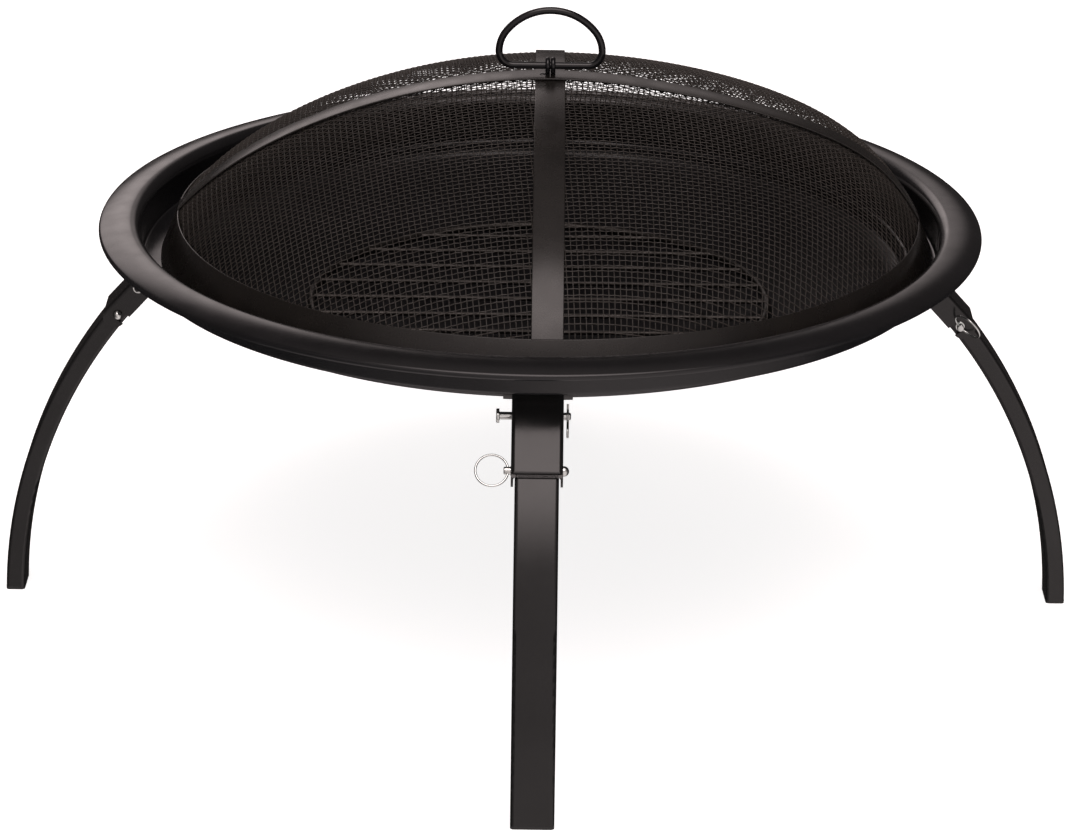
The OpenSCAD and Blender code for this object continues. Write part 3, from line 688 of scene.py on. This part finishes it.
# %% Hairpin clip
CLIP_OUT, CLIP_WIRE, CLIP_ABOVE, CLIP_BELOW, CLIP_EYE = 3.1, 1.8, 6.5, 14.3, 9.5
EYE_START, EYE_END, HUG_ANGLE, CLIP_FACETS = 180, 380, 50, 12
eye_mid = (CLIP_EYE - CLIP_WIRE) / 2
hug = PIVOT_R + CLIP_WIRE / 2 + LOOP_GAP
pinch = CLIP_WIRE + LOOP_GAP
clip_knots = np.concatenate([
    [[0, CLIP_ABOVE], [0, PIVOT_R], [0, -PIVOT_R], [0, 2 * eye_mid - CLIP_BELOW]],
    arc((eye_mid, -CLIP_BELOW), eye_mid, EYE_START, EYE_END, 14),
    [[pinch, -hug - CLIP_WIRE / 2]],
    arc((0, 0), hug, -HUG_ANGLE, HUG_ANGLE, 8),
    [[pinch, hug + CLIP_WIRE / 3], [hug, CLIP_ABOVE + hug / 2]],
])


def smooth_path(knots, steps):
    """A Catmull-Rom curve: between two knots, a cubic whose slopes look to the knots on either side."""
    padded = np.concatenate([2 * knots[:1] - knots[1:2], knots, 2 * knots[-1:] - knots[-2:-1]])
    t = np.linspace(0, 1, steps, endpoint=False)[None, :, None]
    p0, p1, p2, p3 = (padded[k:len(padded) - 3 + k, None] for k in range(4))
    curve = 0.5 * (2 * p1 + (p2 - p0) * t + (2 * p0 - 5 * p1 + 4 * p2 - p3) * t**2
                   + (3 * p1 - p0 - 3 * p2 + p3) * t**3)
    return np.concatenate([curve.reshape(-1, 2), knots[-1:]])


clip_line = smooth_path(clip_knots, 4)
clip_path = np.column_stack([clip_line[:, 0], np.full(len(clip_line), cheek + CLIP_OUT), clip_line[:, 1]])
clip_surface = carried(round_section(CLIP_WIRE, CLIP_FACETS), clip_path, (0, 1.0, 0))

# %% Pull ring
PULL_D, PULL_WIRE, NECK_SHOULDER, PULL_FACETS = 27.0, 1.8, 0.4, 12
LEANS = {"front": 0, "right": 32, "rear": 12, "left": -10}
pull_r = (PULL_D - PULL_WIRE) / 2
pull_hole = PULL_WIRE + NECK_R**2 / pull_r + LOOP_GAP
pull_y = cheek + REST_GAP + NECK_SHOULDER + pull_hole / 2


def pull_ring(lean):
    """A circle that hangs out from the pin's neck, swung by its lean about the bracket's own upright."""
    flat = arc((-pull_r, 0), pull_r, 0, 360, 72)[:-1]
    a = math.radians(lean)
    path = np.column_stack([
        -flat[:, 0] * math.sin(a),
        flat[:, 0] * math.cos(a) - pull_y,
        flat[:, 1] - LOCK_DROP,
    ])
    return carried(round_section(PULL_WIRE, PULL_FACETS), path, (math.cos(a), math.sin(a), 0), closed=True)


# %% Set the small pieces at the four legs
for place in PLACES:
    pin = at_station(turned_pin(pivot_profile, 0), place)
    add_piece("clevis_" + place, pin, "stand", "bright_zinc", ["pivot_pin_" + place], sharp=40)
    clip = at_station(clip_surface, place)
    add_piece("clip_" + place, clip, "stand", "bright_zinc", ["hairpin_clip_" + place], sharp=60)
    lock = at_station(turned_pin(lock_profile, LOCK_DROP), place)
    add_piece("lock_" + place, lock, "lock_" + place, "bright_zinc", ["lock_pin_" + place], sharp=40)
    ring = at_station(pull_ring(LEANS[place]), place)
    add_piece("ring_" + place, ring, "ring_" + place, "bright_zinc", ["pull_ring_" + place], sharp=60)

# %% [markdown]
# ## Legs, brackets and feet
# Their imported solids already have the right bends, holes and sheet edges, so they stay and only get
# their finishes.

# %% Finishes on the kept solids
KEPT = {"leg_bracket_": "satin_black", "leg_": "satin_black", "foot_plug_": "foot_plastic"}
for kind, finish in KEPT.items():
    for place in PLACES:
        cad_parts[kind + place].material_slots[0].material = FINISHES[finish]

# %% [markdown]
# ## Studio
# The photograph is a cut-out on white. A broad pale floor fills the whole view, because the camera
# looks down; a little glow of its own keeps it white under the bowl. Black gloss shows only what it
# mirrors, so the light is shaped for the mirror. The sky is dim, and large soft lights are drawn into
# it as round glows: one low behind on the left, which runs along the left brim, and one high in front,
# which lights the legs and the straps. The floor is hidden from mirror rays, and a dim lower half of
# the sky stands in for it.

# %% Floor
FLOOR_SIDE, FLOOR_CLOUDS, FLOOR_ROUGH, FLOOR_GLOW = 9.0, 3, 0.9, 0.8
FLOOR_DARK, FLOOR_LIGHT = (0.90,) * 3, (0.92,) * 3
floor_corners = FLOOR_SIDE * np.array([(-1, -1, 0), (1, -1, 0), (1, 1, 0), (-1, 1, 0)])
floor_mesh = bpy.data.meshes.new("studio_floor")
floor_mesh.from_pydata(floor_corners.tolist(), [], [(0, 1, 2, 3)])
floor = bpy.data.objects.new("studio_floor", floor_mesh)
bpy.context.scene.collection.objects.link(floor)
floor.visible_glossy = False
floor_tree, floor_shader, floor_coords = start_finish("floor_white")
floor_clouds = grain(floor_tree, floor_coords, FLOOR_CLOUDS, 2)
floor_tone = ramp(floor_tree, floor_clouds, FLOOR_DARK, FLOOR_LIGHT)
floor_tree.links.new(floor_tone, floor_shader.inputs["Base Color"])
floor_shader.inputs["Roughness"].default_value = FLOOR_ROUGH
floor_shader.inputs["Emission Color"].default_value = (1, 1, 1, 1)
floor_shader.inputs["Emission Strength"].default_value = FLOOR_GLOW
floor_mesh.materials.append(FINISHES["floor_white"])

# %% Sky with soft glows
world = bpy.data.worlds.new("studio_world")
bpy.context.scene.world = world
world.use_nodes = True
sky = world.node_tree
direction = sky.nodes.new("ShaderNodeTexCoord").outputs["Generated"]


def glow(azimuth, elevation, core, edge, strength):
    """A round light in the sky: full within core degrees of its middle, nothing beyond edge degrees."""
    a, e = math.radians(azimuth), math.radians(elevation)
    toward = sky.nodes.new("ShaderNodeVectorMath")
    toward.operation = "DOT_PRODUCT"
    toward.inputs[1].default_value = (math.cos(e) * math.cos(a), math.cos(e) * math.sin(a), math.sin(e))
    sky.links.new(direction, toward.inputs[0])
    fade = sky.nodes.new("ShaderNodeMapRange")
    fade.interpolation_type = "SMOOTHSTEP"
    fade.inputs["From Min"].default_value = math.cos(math.radians(edge))
    fade.inputs["From Max"].default_value = math.cos(math.radians(core))
    fade.inputs["To Max"].default_value = strength
    sky.links.new(toward.outputs["Value"], fade.inputs["Value"])
    return fade.outputs["Result"]


def add_up(first, second):
    """The sum of two light levels."""
    node = sky.nodes.new("ShaderNodeMath")
    sky.links.new(first, node.inputs[0])
    sky.links.new(second, node.inputs[1])
    return node.outputs["Value"]


SKY_TINT = (1.0, 0.88, 0.865, 1)
# Each glow is azimuth, elevation, core and edge in degrees, then strength.
GLOWS = {
    "all round": (0, 90, 0, 180, 0.08),
    "behind on the left": (107, 20, 2, 16, 1.4),
    "low behind": (90, 18, 2, 16, 0.6),
    "high in front": (-90, 66, 10, 32, 2.7),
    "overhead": (90, 80, 5, 35, 0.25),
    "low in front": (-90, 30, 8, 65, 0.5),
    "floor": (-90, -60, 20, 66, 0.3),
    "straight below": (-90, -88, 15, 45, 0.4),
    "floor on the right": (-50, -24, 12, 50, 0.5),
}
level = None
for setting in GLOWS.values():
    level = glow(*setting) if level is None else add_up(level, glow(*setting))
background = sky.nodes["Background"]
background.inputs["Color"].default_value = SKY_TINT
sky.links.new(level, background.inputs["Strength"])
bpy.context.scene.view_settings.view_transform = "Standard"
print("sky lights:", len(GLOWS))
